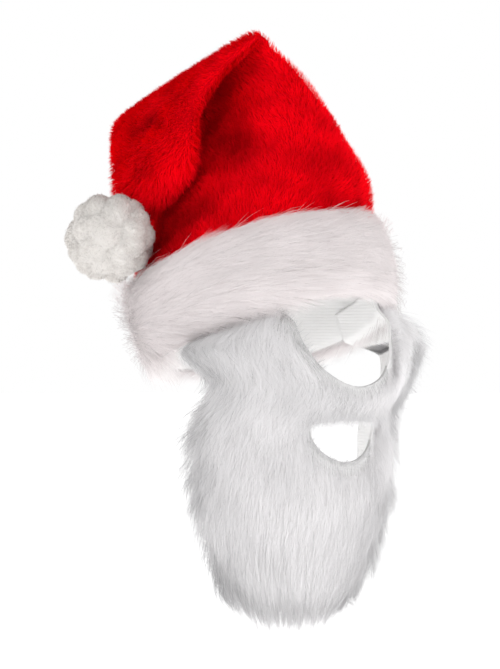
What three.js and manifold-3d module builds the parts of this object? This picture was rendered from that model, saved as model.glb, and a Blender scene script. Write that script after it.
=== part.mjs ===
// A plush Santa hat with a fur beard sewn inside its brim, shaped as it is worn.
// Millimetres, +Z up. The face looks along -Y and the wearer's right ear is at -X.
// The origin is the middle of the head opening, in the plane of the brim's lower edge.
import * as THREE from "three";
import { mergeVertices } from "three/addons/utils/BufferGeometryUtils.js";
import Module from "manifold-3d";

const wasm = await Module();
wasm.setup();
const { degToRad, lerp, smoothstep } = THREE.MathUtils;

// Driving dimensions
const HEAD_HALF_WIDTH = 80; // inside of the brim, to the ear
const HEAD_HALF_LENGTH = 98; // inside of the brim, to the brow
const HAT_LEAN = degToRad(20); // the hat sits back on the head
const CLOTH = 2.2; // thickness of the plush and of the fur's backing
const GAP = 0.4; // between neighbouring pieces
const FACING = 1.4; // the brim's turned-in hem, inside the crown
const FACING_HEIGHT = 42;
const BRIM_HEIGHT = 62;
const BRIM_BULGE = 9; // how far the brim's fur body stands off the crown
const BRIM_FLARE = 4; // how much wider the brim is at its top than at its bottom
const HEM_SLACK = 0.7; // more room for the crown's hem inside the brim
const NAPE_TUCK = 6; // the brim's back is drawn in at the nape
const NAPE_RISE = 8; // and rides up there
const NAPE_FADE = 136; // height over which the back is straight again
const POMPOM = { radius: 34, core: 0.8, tufts: 37, tuftMin: 0.26, tuftMax: 0.32 }; // shares of the radius
const POMPOM_PLACE = new THREE.Vector3(-108.1, 33, 94.4); // in the hat's own frame
const STRAP_GAP = 1.3; // between the beard's straps and the facing
const STRAP_DROPS = [-19, 3, 11, 20]; // first rows of the straps, below the brim's lower edge

// Openings in the beard, as ellipses seen from the front
const EYES = { across: -3, middle: 16, halfWidth: 47.5, drop: 52.5, top: 116 };
const MOUTH = { middle: -66, halfWidth: 33, drop: 28, rise: 3 };
const CUT = { front: -150, back: -30, curveSegments: 12 }; // from the beard's front to behind it

// Crown, from hem to tip: the middle of each section in the hat's frame, half its length from
// front to back, half its depth across, how far it leans over, and how square its outline is.
const FOLD = { radius: 9, y: 4.5, top: 212, length: 83, depth: 5, lean: 137, square: 3.6, steps: 5 };
const CROWN_BODY = [
  { x: 0, y: 0, z: 1.5, length: 102, depth: 84, lean: 0, square: 2 },
  { x: 1, y: -1, z: 60, length: 103.4, depth: 85.2, lean: 0, square: 2 },
  { x: 9, y: -4, z: 94, length: 107, depth: 76.5, lean: 0, square: 2 },
  { x: 11, y: -1, z: 130, length: 102, depth: 58, lean: 0, square: 2.1 },
  { x: 11, y: 1, z: 165, length: 96, depth: 33, lean: 0, square: 2.4 },
  { x: 6, y: 3, z: 192, length: 90, depth: 14, lean: 0, square: 3 },
];
const CROWN_FLAP = [
  { x: -37, y: 8, z: 202, length: 68, depth: 8.5, lean: 139, square: 2.8 },
  { x: -57, y: 8.5, z: 177, length: 51.5, depth: 11.5, lean: 148, square: 2.5 },
  { x: -69, y: 3, z: 153, length: 48, depth: 14, lean: 163, square: 2.4 },
  { x: -74, y: 4, z: 132, length: 41, depth: 14, lean: 175, square: 2.3 },
  { x: -76, y: 12, z: 120, length: 26, depth: 10.5, lean: 165, square: 2.2 },
  { x: -82, y: 19, z: 110.6, length: 9, depth: 5, lean: 150, square: 2 },
];
// Dents pressed into the crown's cloth: where, how deep and how wide.
const DENTS = [
  { x: -71, y: 4, z: 182, depth: 7, spread: 15 },
  { x: -88, y: 32, z: 157, depth: 4, spread: 17 },
  { x: -42, y: -54, z: 138, depth: 9, spread: 25 },
  { x: 46, y: 26, z: 142, depth: 5, spread: 30 },
];

// Beard, from brow to tip: half its width, the front of its middle line, the middle of its
// curve, and how far round the face it reaches in degrees.
const BEARD = [
  { z: 50, width: 79, front: -92, middle: 4, reach: 90 },
  { z: -4, width: 96, front: -101, middle: 3, reach: 88 },
  { z: -16, width: 96, front: -103, middle: 1, reach: 79 },
  { z: -36, width: 90, front: -104, middle: -2, reach: 73 },
  { z: -66, width: 86, front: -87, middle: -4, reach: 84 },
  { z: -94, width: 85, front: -86, middle: -4, reach: 85 },
  { z: -124, width: 82, front: -81, middle: -4, reach: 83 },
  { z: -160, width: 73, front: -69, middle: -6, reach: 79 },
  { z: -190, width: 61, front: -57, middle: -8, reach: 77 },
  { z: -232, width: 36, front: -42, middle: -12, reach: 70 },
];
// The cloth of the left cheek puffs out: how far, round which height, over what spread, and
// from which share of the reach to which.
const CHEEK = { puff: 10, z: -2, spread: 24, from: 0.3, to: 0.6 };
const BEARD_ROWS = 15;
const BEARD_COLUMNS = 22;
const BEARD_CUT = { middle: -210, side: -178 }; // the lower edge of the beard's backing
// Locks of the beard, in rows: height of their roots, length, width, and how far they stand off.
const BEARD_LOCKS = [
  { z: 16, length: 36, width: 24, lift: 14 },
  { z: -18, length: 36, width: 24, lift: 13 },
  { z: -45, length: 22, width: 22, lift: 9 },
  { z: -74, length: 44, width: 24, lift: 10 },
  { z: -108, length: 50, width: 24, lift: 11 },
  { z: -144, length: 52, width: 24, lift: 10 },
  { z: -180, length: 44, width: 22, lift: 7 },
];
const LOCK_SPACING = 28;
// A lock's width at its root as a share, its thickness at its root and half way, and how far
// under the brim and over the beard's lower edge it keeps.
const LOCK = { rootWidth: 0.7, rootThickness: 1.2, thickness: 9, underBrim: 9, overEdge: 4 };
// How far a lock strays from its place in its row, up and down and in length, how much of a
// half turn it arches through, and how much the beard's locks fan out.
const STRAY = { place: 0.4, height: 8, shortest: 0.9, longest: 1.1, arch: 0.67, fan: 0.03 };
// Locks of the brim, in rows round the hat: height, length round the hat, stand-off and droop.
const BRIM_LOCKS = [
  { z: 8, length: 46, width: 20, lift: 4, fall: 9, phase: 0 },
  { z: 31, length: 50, width: 22, lift: 5, fall: 3, phase: 0.5 },
  { z: 52, length: 46, width: 20, lift: 5.5, fall: -5, phase: 0.2 },
];
const BRIM_LOCKS_PER_ROW = 14;

// A whole number's fixed scatter between 0 and 1.
function scatter(seed) {
  const wave = Math.sin(seed * 12.9898 + 7.9) * 43758.5453;
  return wave - Math.floor(wave);
}

// A template geometry with each corner put where place(position, uv) says, as a closed solid.
function formed(template, place) {
  const { position, uv } = template.attributes;
  const at = new THREE.Vector3();
  const on = new THREE.Vector2();
  for (let i = 0; i < position.count; i++) {
    at.fromBufferAttribute(position, i);
    on.fromBufferAttribute(uv, i);
    const moved = place(at, on);
    position.setXYZ(i, moved.x, moved.y, moved.z);
  }
  return solidOf(template);
}

function solidOf(geometry) {
  const bare = new THREE.BufferGeometry();
  bare.setAttribute("position", geometry.attributes.position);
  bare.setIndex(geometry.index);
  const merged = mergeVertices(bare, 1e-3);
  const corners = merged.index.array;
  const kept = [];
  for (let i = 0; i < corners.length; i += 3) {
    const [a, b, c] = corners.slice(i, i + 3);
    if (a !== b && b !== c && c !== a) kept.push(a, b, c);
  }
  const made = manifoldOf(merged.attributes.position.array, kept);
  return made.volume() > 0 ? made : manifoldOf(merged.attributes.position.array, kept.reverse());
}

function manifoldOf(vertProperties, triangles) {
  const triVerts = new Uint32Array(triangles);
  return new wasm.Manifold(new wasm.Mesh({ numProp: 3, vertProperties, triVerts }));
}

function meshOf(name, solid, material) {
  const { vertProperties, triVerts } = solid.getMesh();
  const geometry = new THREE.BufferGeometry();
  geometry.setAttribute("position", new THREE.BufferAttribute(vertProperties, 3));
  geometry.setIndex(new THREE.BufferAttribute(triVerts, 1));
  geometry.computeVertexNormals();
  const mesh = new THREE.Mesh(geometry, material);
  mesh.name = name;
  return mesh;
}

function fused(solids) {
  return solids.reduce((whole, piece) => whole.add(piece));
}

// A table's row at a place between its rows, on a smooth curve through them.
function between(table, share) {
  const last = table.length - 1;
  const place = Math.min(Math.max(share, 0), 1) * last;
  const i = Math.min(Math.floor(place), last - 1);
  const t = place - i;
  const rows = [-1, 0, 1, 2].map((k) => table[Math.min(Math.max(i + k, 0), last)]);
  const row = {};
  for (const column of Object.keys(table[0])) {
    const [a, b, c, d] = rows.map((r) => r[column]);
    const slopeIn = (c - a) / 2;
    const slopeOut = (d - b) / 2;
    row[column] =
      b * (2 * t ** 3 - 3 * t ** 2 + 1) +
      c * (3 * t ** 2 - 2 * t ** 3) +
      slopeIn * (t ** 3 - 2 * t ** 2 + t) +
      slopeOut * (t ** 3 - t ** 2);
  }
  return row;
}

// Crown: a cone of plush that narrows to a ridge, folds over it and hangs down its own side.
function foldRows() {
  const rows = [];
  for (let k = 0; k <= FOLD.steps; k++) {
    const lean = (FOLD.lean * k) / FOLD.steps;
    const x = FOLD.radius * (Math.cos(degToRad(lean)) - 1);
    const z = FOLD.top + FOLD.radius * Math.sin(degToRad(lean));
    const { y, length, depth, square } = FOLD;
    rows.push({ x, y, z, length, depth, lean, square });
  }
  return rows;
}

const CROWN = [...CROWN_BODY, ...foldRows(), ...CROWN_FLAP];
const CROWN_STATIONS = 23;
const SIDES = 32; // facets round the crown and the brim

// The hat's back, drawn in and lifted at the nape, less and less further up.
function settled(at) {
  const back = (Math.max(0, at.y) / HEAD_HALF_LENGTH) ** 2;
  const hold = back * (1 - smoothstep(at.z, BRIM_HEIGHT, NAPE_FADE));
  return at.add(new THREE.Vector3(0, -NAPE_TUCK * hold, NAPE_RISE * hold));
}

function crownPoint(share, turn, inset) {
  const row = between(CROWN, share);
  const angle = turn * 2 * Math.PI;
  const power = 2 / row.square;
  const bent = (wave) => Math.sign(wave) * Math.abs(wave) ** power;
  const lean = degToRad(row.lean);
  const out = new THREE.Vector3(Math.cos(lean), 0, Math.sin(lean));
  const across = bent(Math.cos(angle)) * (row.depth - inset);
  const at = new THREE.Vector3(row.x, row.y + bent(Math.sin(angle)) * (row.length - inset), row.z);
  at.addScaledVector(out, across);
  for (const dent of DENTS) {
    const far = at.distanceTo(new THREE.Vector3(dent.x, dent.y, dent.z)) / dent.spread;
    const push = dent.depth * Math.exp(-far * far);
    at.addScaledVector(out, -push * Math.sign(across));
  }
  return settled(at);
}

function crown() {
  // One run from the outer tip down to the hem, and back up inside to the inner tip.
  const template = new THREE.SphereGeometry(1, SIDES, 2 * CROWN_STATIONS + 1);
  const rows = 2 * CROWN_STATIONS + 1;
  const { x, y, z, lean } = between(CROWN, 1);
  const onward = new THREE.Vector3(-Math.sin(degToRad(lean)), 0, Math.cos(degToRad(lean)));
  const tip = (inset) => new THREE.Vector3(x, y, z).addScaledVector(onward, -inset);
  return formed(template, (at, uv) => {
    const row = Math.round((1 - uv.y) * rows);
    const turn = Math.round(uv.x * SIDES * 2) / 2 / SIDES;
    const inside = row > CROWN_STATIONS;
    if (row === 0) return tip(-CLOTH);
    if (row === rows) return tip(CLOTH);
    const station = inside ? row - CROWN_STATIONS - 1 : CROWN_STATIONS - row;
    return crownPoint(station / CROWN_STATIONS, turn, inside ? CLOTH : 0);
  });
}

// Brim: a band of fur that turns in under the crown's hem, with locks combed round the hat.
function brimPoint(turn, out, z) {
  const angle = turn * 2 * Math.PI;
  const x = (HEAD_HALF_WIDTH + out) * Math.cos(angle);
  const y = (HEAD_HALF_LENGTH + out) * Math.sin(angle);
  return settled(new THREE.Vector3(x, y, z));
}

// Distance out from the head to a share of the brim's bulge at a height.
function brimOut(bulge, z) {
  return FACING + GAP + CLOTH + HEM_SLACK + (BRIM_FLARE * z) / BRIM_HEIGHT + bulge * BRIM_BULGE;
}

const BRIM_SECTION = [
  { out: 0, z: FACING_HEIGHT },
  { out: 0, z: 4 },
  { out: 1.6, z: -0.6 },
  { out: brimOut(0, -3), z: -3 },
  { out: brimOut(0.6, -1), z: -1 },
  { out: brimOut(0.9, 9), z: 9 },
  { out: brimOut(1, 27), z: 27 },
  { out: brimOut(0.95, 43), z: 43 },
  { out: brimOut(0.7, 55), z: 55 },
  { out: brimOut(0.25, BRIM_HEIGHT), z: BRIM_HEIGHT },
  { out: brimOut(0, 60), z: 60 },
  { out: brimOut(0, 0.8), z: 0.8 },
  { out: FACING, z: 0.8 },
  { out: FACING, z: FACING_HEIGHT },
];

function brim() {
  const corners = BRIM_SECTION.length;
  const template = new THREE.TorusGeometry(1, 0.5, corners, SIDES);
  const band = formed(template, (at, uv) => {
    const { out, z } = BRIM_SECTION[Math.round(uv.y * corners) % corners];
    return brimPoint((Math.round(uv.x * SIDES) % SIDES) / SIDES, out, z);
  });
  const girth = Math.PI * (HEAD_HALF_WIDTH + HEAD_HALF_LENGTH + 2 * BRIM_BULGE);
  const locks = [];
  for (const row of BRIM_LOCKS) {
    for (let k = 0; k < BRIM_LOCKS_PER_ROW; k++) {
      const seed = k + row.z * 7.3;
      const turn = (k + row.phase + STRAY.place * scatter(seed)) / BRIM_LOCKS_PER_ROW;
      const length = row.length * lerp(STRAY.shortest, STRAY.longest, scatter(seed + 0.3));
      const path = (a) => {
        const rise = row.lift * Math.sin(a * STRAY.arch * Math.PI);
        const z = row.z - row.fall * a * a;
        return brimPoint(turn + (a * length) / girth, brimOut(0.6, row.z) + rise, z);
      };
      const out = brimPoint(turn, 0, 0).setZ(0).normalize();
      locks.push(lock(path, out, row.width));
    }
  }
  return fused([band, ...locks]);
}

// One lock of fur along a path: thin at its root, fullest half way, and pointed.
function lock(path, out, width) {
  const template = new THREE.ConeGeometry(1, 1, 4, 2, false, Math.PI / 4);
  const step = 0.05;
  return formed(template, (at) => {
    const a = at.y + 0.5;
    const along = path(Math.min(a + step, 1)).sub(path(Math.max(a - step, 0))).normalize();
    const side = new THREE.Vector3().crossVectors(along, out).normalize();
    const up = new THREE.Vector3().crossVectors(side, along);
    const spread = lerp(LOCK.rootWidth, 2, Math.min(1, 2 * a)) * (width / 2);
    const thick = lerp(LOCK.rootThickness, 2 * LOCK.thickness, Math.min(1, 2 * a)) / 2;
    return path(a).addScaledVector(side, at.x * spread).addScaledVector(up, at.z * thick);
  });
}

// Beard: a curved sheet of fur that hangs from the brim, open at the eyes and the mouth.
function beardRow(z) {
  const last = BEARD.length - 1;
  let i = 0;
  while (i < last - 1 && z < BEARD[i + 1].z) i++;
  return between(BEARD, (i + (BEARD[i].z - z) / (BEARD[i].z - BEARD[i + 1].z)) / last);
}

// A point of the backing's inner face at a share of its reach (-1 to 1) and a height.
function beardPoint(share, z, out) {
  const row = beardRow(z);
  const angle = share * degToRad(row.reach);
  const puff = CHEEK.puff * Math.exp(-(((z - CHEEK.z) / CHEEK.spread) ** 2));
  const stand = out + puff * smoothstep(share, CHEEK.from, CHEEK.to);
  const depth = row.middle - row.front;
  const hung = new THREE.Vector3(
    (row.width + stand) * Math.sin(angle),
    row.middle - (depth + stand) * Math.cos(angle),
    z,
  );
  // Inside the brim the straps follow the hat's own ellipse.
  const inset = STRAP_GAP + CLOTH - out;
  const level = -(HEAD_HALF_LENGTH - inset) * Math.cos(angle);
  const height = (z + level * Math.sin(HAT_LEAN)) / Math.cos(HAT_LEAN);
  const tucked = new THREE.Vector3(
    (HEAD_HALF_WIDTH - inset) * Math.sin(angle),
    level * Math.cos(HAT_LEAN) + height * Math.sin(HAT_LEAN),
    z,
  );
  return tucked.lerp(hung, smoothstep(-height, STRAP_DROPS[1], STRAP_DROPS[3]));
}

// Heights of the brim's lower edge and of the backing's lower edge.
function brimBottom(share) {
  const angle = share * degToRad(BEARD[0].reach);
  return HEAD_HALF_LENGTH * Math.cos(angle) * Math.sin(HAT_LEAN);
}

function beardBottom(share) {
  return lerp(BEARD_CUT.middle, BEARD_CUT.side, share ** 4);
}

// Height of a row of the backing: the first rows turn out from under the brim.
function beardHeight(share, row) {
  const last = STRAP_DROPS.length - 1;
  const edge = brimBottom(share);
  if (row <= last) return edge - STRAP_DROPS[row];
  return lerp(edge - STRAP_DROPS[last], beardBottom(share), (row - last) / (BEARD_ROWS - last));
}

function openingCutters() {
  const eyes = new THREE.Shape();
  eyes.moveTo(EYES.across + EYES.halfWidth, EYES.top);
  eyes.lineTo(EYES.across - EYES.halfWidth, EYES.top);
  eyes.absellipse(EYES.across, EYES.middle, EYES.halfWidth, EYES.drop, Math.PI, 2 * Math.PI);
  const mouth = new THREE.Shape();
  mouth.absellipse(0, MOUTH.middle, MOUTH.halfWidth, MOUTH.drop, Math.PI, 2 * Math.PI);
  mouth.absellipse(0, MOUTH.middle, MOUTH.halfWidth, MOUTH.rise, 0, Math.PI);
  return [eyes, mouth].map((shape) => {
    const { curveSegments } = CUT;
    const depth = CUT.back - CUT.front;
    const block = new THREE.ExtrudeGeometry(shape, { depth, bevelEnabled: false, curveSegments });
    block.rotateX(Math.PI / 2);
    block.translate(0, CUT.back, 0);
    return solidOf(block);
  });
}

function inOpening({ x, z }) {
  const margin = 4;
  const eyeHeight = Math.min(0, z - EYES.middle) / (EYES.drop + margin);
  const mouthHeight = (z - MOUTH.middle) / (margin + (z < MOUTH.middle ? MOUTH.drop : MOUTH.rise));
  const inEyes = Math.hypot((x - EYES.across) / (EYES.halfWidth + margin), eyeHeight) < 1;
  const inMouth = Math.hypot(x / (MOUTH.halfWidth + margin), mouthHeight) < 1;
  return inEyes || inMouth;
}

function beardLocks() {
  const locks = [];
  for (const row of BEARD_LOCKS) {
    const { reach, width, front, middle } = beardRow(row.z);
    const girth = degToRad(reach) * (width + middle - front);
    const count = Math.floor(girth / LOCK_SPACING);
    for (let k = 0; k < count; k++) {
      const seed = k + row.z * 3.7;
      const share = ((k + 0.5 + STRAY.place * (scatter(seed) - 0.5)) / count) * 2 - 1;
      const free = brimBottom(share) - LOCK.underBrim;
      const z = Math.min(row.z + STRAY.height * (scatter(seed + 0.5) - 0.5), free);
      const root = beardPoint(share, z, CLOTH);
      if (inOpening(root) || z < beardBottom(share) + LOCK.overEdge) continue;
      const length = row.length * lerp(STRAY.shortest, STRAY.longest, scatter(seed + 0.8));
      const path = (a) => {
        const stand = CLOTH / 2 + row.lift * Math.sin(a * STRAY.arch * Math.PI);
        return beardPoint(share * (1 + STRAY.fan * a), z - length * a, stand);
      };
      const out = new THREE.Vector3(root.x, root.y - middle, 0).normalize();
      locks.push(lock(path, out, row.width));
    }
  }
  return locks;
}

function beard() {
  const template = new THREE.BoxGeometry(2, 1, 1, BEARD_COLUMNS, BEARD_ROWS, 1);
  const sheet = formed(template, (at) => {
    const row = Math.round((0.5 - at.y) * BEARD_ROWS);
    return beardPoint(at.x, beardHeight(at.x, row), at.z > 0 ? CLOTH : 0);
  });
  const [eyes, mouth] = openingCutters();
  const cut = sheet.subtract(eyes).subtract(mouth);
  return fused([cut, ...beardLocks()]);
}

// Pompom: a ball of short blunt tufts.
function pompom() {
  const golden = Math.PI * (3 - Math.sqrt(5));
  const tufts = [solidOf(new THREE.IcosahedronGeometry(POMPOM.core * POMPOM.radius, 1))];
  for (let k = 0; k < POMPOM.tufts; k++) {
    const height = 1 - (2 * (k + 0.5)) / POMPOM.tufts;
    const ring = Math.sqrt(1 - height * height);
    const out = new THREE.Vector3(ring * Math.cos(golden * k), ring * Math.sin(golden * k), height);
    const size = POMPOM.radius * lerp(POMPOM.tuftMin, POMPOM.tuftMax, scatter(k));
    const tuft = new THREE.IcosahedronGeometry(size, 0);
    tuft.rotateX(k).rotateZ(2 * k);
    tuft.translate(...out.multiplyScalar(POMPOM.radius - size).toArray());
    tufts.push(solidOf(tuft));
  }
  return fused(tufts);
}

const redPlush = new THREE.MeshStandardMaterial({ color: 0xc8040f, roughness: 0.9, metalness: 0 });
const whiteFur = new THREE.MeshStandardMaterial({ color: 0xecebe9, roughness: 0.95, metalness: 0 });
const whiteWool = new THREE.MeshStandardMaterial({ color: 0xe9e6e0, roughness: 1, metalness: 0 });

const hat = new THREE.Group();
hat.rotation.x = -HAT_LEAN;
hat.add(meshOf("crown", crown(), redPlush));
hat.add(meshOf("brim", brim(), whiteFur));
const ball = meshOf("pompom", pompom(), whiteWool);
ball.position.copy(POMPOM_PLACE);
hat.add(ball);

const santaHat = new THREE.Group();
santaHat.add(hat);
santaHat.add(meshOf("beard", beard(), whiteFur));

export default santaHat;
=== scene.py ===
import bpy
import numpy as np
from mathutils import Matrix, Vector
from mathutils.bvhtree import BVHTree
from mathutils.kdtree import KDTree


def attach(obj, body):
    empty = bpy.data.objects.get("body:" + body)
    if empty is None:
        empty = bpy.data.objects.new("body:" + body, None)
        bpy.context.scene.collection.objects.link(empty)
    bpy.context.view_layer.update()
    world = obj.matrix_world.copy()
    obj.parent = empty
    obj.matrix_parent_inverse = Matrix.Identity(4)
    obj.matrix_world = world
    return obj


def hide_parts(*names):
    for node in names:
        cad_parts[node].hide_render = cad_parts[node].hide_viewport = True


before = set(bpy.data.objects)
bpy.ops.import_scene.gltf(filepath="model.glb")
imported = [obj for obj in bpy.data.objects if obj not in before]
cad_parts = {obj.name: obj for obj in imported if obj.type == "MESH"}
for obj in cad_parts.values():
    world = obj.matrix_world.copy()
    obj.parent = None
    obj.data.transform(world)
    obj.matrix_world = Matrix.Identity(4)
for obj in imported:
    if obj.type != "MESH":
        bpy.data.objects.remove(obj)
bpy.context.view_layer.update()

rng = np.random.default_rng(24)
MM = 0.001

# The form of the cloth, in millimetres, as the solids have it.
HEAD_HALF_WIDTH = 80
HEAD_HALF_LENGTH = 98
HAT_LEAN = np.radians(20)
CLOTH = 2.2
FACING = 1.4
FACING_HEIGHT = 42
HEM_ROOM = 4.7
BRIM_HEIGHT = 62
BRIM_BULGE = 9
BRIM_FLARE = 4
NAPE_TUCK = 6
NAPE_RISE = 8
NAPE_FADE = 136
POMPOM_RADIUS = 34
POMPOM_PLACE = np.array([-108.1, 33, 94.4])
# The straps reach up inside the brim, and leave its wall between two drops below its lower edge.
STRAP_GAP = 1.3
STRAP_TUCK = 19
STRAP_LEAVES = 3
STRAP_HANGS = 20
EYES = {"across": -3, "middle": 16, "half_width": 47.5, "drop": 52.5}
MOUTH = {"middle": -66, "half_width": 33, "drop": 28, "rise": 3}

# Crown sections from hem to tip: x, y, z, half length, half depth, lean, squareness.
CROWN_BODY = [
    (0, 0, 1.5, 102, 84, 0, 2),
    (1, -1, 60, 103.4, 85.2, 0, 2),
    (9, -4, 94, 107, 76.5, 0, 2),
    (11, -1, 130, 102, 58, 0, 2.1),
    (11, 1, 165, 96, 33, 0, 2.4),
    (6, 3, 192, 90, 14, 0, 3),
]
FOLD = {"radius": 9, "y": 4.5, "top": 212, "length": 83, "depth": 5, "lean": 137, "square": 3.6, "steps": 5}
CROWN_FLAP = [
    (-37, 8, 202, 68, 8.5, 139, 2.8),
    (-57, 8.5, 177, 51.5, 11.5, 148, 2.5),
    (-69, 3, 153, 48, 14, 163, 2.4),
    (-74, 4, 132, 41, 14, 175, 2.3),
    (-76, 12, 120, 26, 10.5, 165, 2.2),
    (-82, 19, 110.6, 9, 5, 150, 2),
]
# Dents in the crown: x, y, z, depth, spread.
DENTS = [
    (-71, 4, 182, 7, 15),
    (-88, 32, 157, 4, 17),
    (-42, -54, 138, 9, 25),
    (46, 26, 142, 5, 30),
]
# Shade and light painted into the crown's pile, darker or lighter: darker in the flap's shadow on the body,
# in the wedge under the fold, along the flap's crease and low on the body by the pompom, lighter on the flap:
# x, y, z, spread, change.
PILE_PAINTED_SHADE_AND_LIGHT = [
    (-32, -42, 138, 24, -0.7),
    (-20, -20, 168, 14, -0.4),
    (-61, 7, 186, 7, -0.6),
    (-67, -4, 179, 8, -0.75),
    (-74, -17, 169, 7, -0.6),
    (-87, 4, 141, 18, -0.12),
    (-8, -108, 89, 24, -0.38),
    (-55, -65, 91, 30, -0.16),
    (-78, -39, 145, 26, 0.9),
    (-72, -3, 87, 24, -0.6),
    (-65, -21, 97, 22, -0.45),
    (-79, 13, 74, 18, -0.45),
    (-6, -27, 199, 14, -0.6),
]
# Noise in the pile of the crown: weight, size, seed.
PILE_SWIRL = [(0.4, 70, 3), (0.25, 22, 4)]
PILE_TONE = [(0.13, 40, 6), (0.08, 15, 7)]

# Turns about the hat start at the wearer's left and go by the back, the right side and the front.
# Fall of the brim's fur by the height of its roots: z, fall.
BRIM_FALL = np.array([(-2, 12), (6, 8), (16, 3), (40, 2), (62, 1)])
# It hangs shorter over the eyes, and rises along the top edge from there to the left: turns of both ends.
BRIM_SHORT = (0.62, 0.68, 0.82, 0.86)
BRIM_RISES = (0.66, 0.84, 0.93, 1.0)
# It stands loose at the front left and the back right, with a fringe at the back right: turn, spread.
BRIM_LOOSE = [(0.883, 0.035), (0.383, 0.04)]
BRIM_FRINGE = (0.4, 0.06)

# Beard rows from brow to tip: z, half width, front, middle, reach in degrees.
BEARD = np.array([
    (50, 79, -92, 4, 90),
    (-4, 96, -101, 3, 88),
    (-16, 96, -103, 1, 79),
    (-36, 90, -104, -2, 73),
    (-66, 86, -87, -4, 84),
    (-94, 85, -86, -4, 85),
    (-124, 82, -81, -4, 83),
    (-160, 73, -69, -6, 79),
    (-190, 61, -57, -8, 77),
    (-232, 36, -42, -12, 70),
])
BEARD_CUT = {"middle": -210, "side": -178}
# The left cheek puffs out: how far, at which height, over what spread, and between which shares.
CHEEK = {"puff": 10, "z": -2, "spread": 24, "from": 0.3, "to": 0.6}
# Fur of the beard by the height of its roots: z, length, stand-off.
BEARD_FUR = np.array([
    (-212, 20, 4),
    (-196, 30, 5),
    (-160, 42, 8),
    (-130, 38, 10),
    (-100, 32, 10),
    (-72, 26, 9),
    (-45, 20, 8),
    (-18, 24, 10),
    (16, 26, 11),
])
# The ends of its locks lie on a curve: lowest z, the share where that is, and the rise at a share from it.
FUR_END = {"z": -227, "share": -0.3, "rise": 10, "rise_share": 0.65}
# Single strands sway more higher up: z, degrees.
FUR_SWAY = np.array([(-190, 1.2), (-120, 1.8), (-60, 2.8)])
# Painted shade at the right end of the moustache: place and spread.
FUR_SHADE = {"place": (-46, -95, -38), "spread": (24, 40, 15)}
# Pointed locks stand off along the left side, where the cloth turns away: degrees from the front, spread.
FUR_SPIKES = (48, 15)
# Fur above this height lies by the eyes, and fur below it by the mouth.
BY_EYES = -45


def unit(v):
    return v / np.maximum(np.linalg.norm(v, axis=-1, keepdims=True), 1e-9)


def smooth(x, low, high):
    t = np.clip((x - low) / (high - low), 0, 1)
    return t * t * (3 - 2 * t)


def stretch(x, low, rise, fall, high):
    """1 from rise to fall, with smooth ends that reach 0 at low and high."""
    return smooth(x, low, rise) * (1 - smooth(x, fall, high))


def hump(x, middle, spread):
    """1 at the middle, falling smoothly to 0 on both sides."""
    return np.exp(-(((x - middle) / spread) ** 2))


def patch(at, place, spread):
    """1 at a place, falling smoothly to 0 all round it. The spread may differ along x, y and z."""
    off = (at - np.array(place)) / np.array(spread)
    return np.exp(-np.sum(off * off, axis=-1))


def waves(at, size, seed):
    """Smooth noise from about -1 to 1 whose hills are about size apart."""
    count, usual_height = 7, 3
    wild = np.random.default_rng(seed)
    total = np.zeros(at.shape[:-1])
    for _ in range(count):
        way = unit(wild.normal(size=3)) * (2 * np.pi / size) * wild.uniform(0.6, 1.4)
        total += np.sin(at @ way + wild.uniform(0, 2 * np.pi))
    return total / usual_height


def mottle(at, layers):
    """Noise of several sizes: weight, size and seed of each layer."""
    return sum(weight * waves(at, size, seed) for weight, size, seed in layers)


def between(table, share):
    """A table's row at a share of its length, on a smooth curve through its rows."""
    last = len(table) - 1
    place = np.clip(share, 0, 1) * last
    i = np.minimum(place.astype(int), last - 1)
    t = (place - i)[..., None]
    a, b, c, d = (table[np.clip(i + k, 0, last)] for k in (-1, 0, 1, 2))
    ends = b * (2 * t**3 - 3 * t**2 + 1) + c * (3 * t**2 - 2 * t**3)
    slopes = (c - a) / 2 * (t**3 - 2 * t**2 + t) + (d - b) / 2 * (t**3 - t**2)
    return ends + slopes


def worn(at):
    """From the hat's own frame to the row frame: the hat leans back on the head."""
    x, y, z = np.moveaxis(at, -1, 0)
    cos, sin = np.cos(HAT_LEAN), np.sin(HAT_LEAN)
    return np.stack([x, y * cos + z * sin, z * cos - y * sin], -1)


def settled(at):
    """The hat's lower part is tucked in and raised at the nape."""
    back = (np.maximum(0, at[..., 1]) / HEAD_HALF_LENGTH) ** 2
    hold = back * (1 - smooth(at[..., 2], BRIM_HEIGHT, NAPE_FADE))
    return at + hold[..., None] * np.array([0, -NAPE_TUCK, NAPE_RISE])


def fold_rows():
    """Crown sections round the fold."""
    rows = []
    for lean in np.linspace(0, FOLD["lean"], FOLD["steps"] + 1):
        x = FOLD["radius"] * (np.cos(np.radians(lean)) - 1)
        z = FOLD["top"] + FOLD["radius"] * np.sin(np.radians(lean))
        rows.append((x, FOLD["y"], z, FOLD["length"], FOLD["depth"], lean, FOLD["square"]))
    return rows


CROWN = np.array(CROWN_BODY + fold_rows() + CROWN_FLAP)


def crown_point(share, turn, inset=0):
    """A place on the crown, at a share from hem to tip and a turn about it."""
    x, y, z, length, depth, lean, square = np.moveaxis(between(CROWN, share), -1, 0)
    angle = turn * 2 * np.pi

    def bent(wave):
        return np.sign(wave) * np.abs(wave) ** (2 / square)

    lean = np.radians(lean)
    out = np.stack([np.cos(lean), np.zeros_like(lean), np.sin(lean)], -1)
    across = bent(np.cos(angle)) * (depth - inset)
    at = np.stack([x, y + bent(np.sin(angle)) * (length - inset), z], -1) + out * across[..., None]
    for *place, deep, spread in DENTS:
        push = deep * patch(at, place, spread) * np.sign(across)
        at = at - out * push[..., None]
    return settled(at)


def brim_out(bulge, z):
    return HEM_ROOM + BRIM_FLARE * z / BRIM_HEIGHT + bulge * BRIM_BULGE


def brim_point(turn, out, z):
    """A place on the brim, at a turn about the hat, a distance out from the head and a height."""
    angle = turn * 2 * np.pi
    x = (HEAD_HALF_WIDTH + out) * np.cos(angle)
    y = (HEAD_HALF_LENGTH + out) * np.sin(angle)
    return settled(np.stack([x, y, z + 0 * angle], -1))


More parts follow.
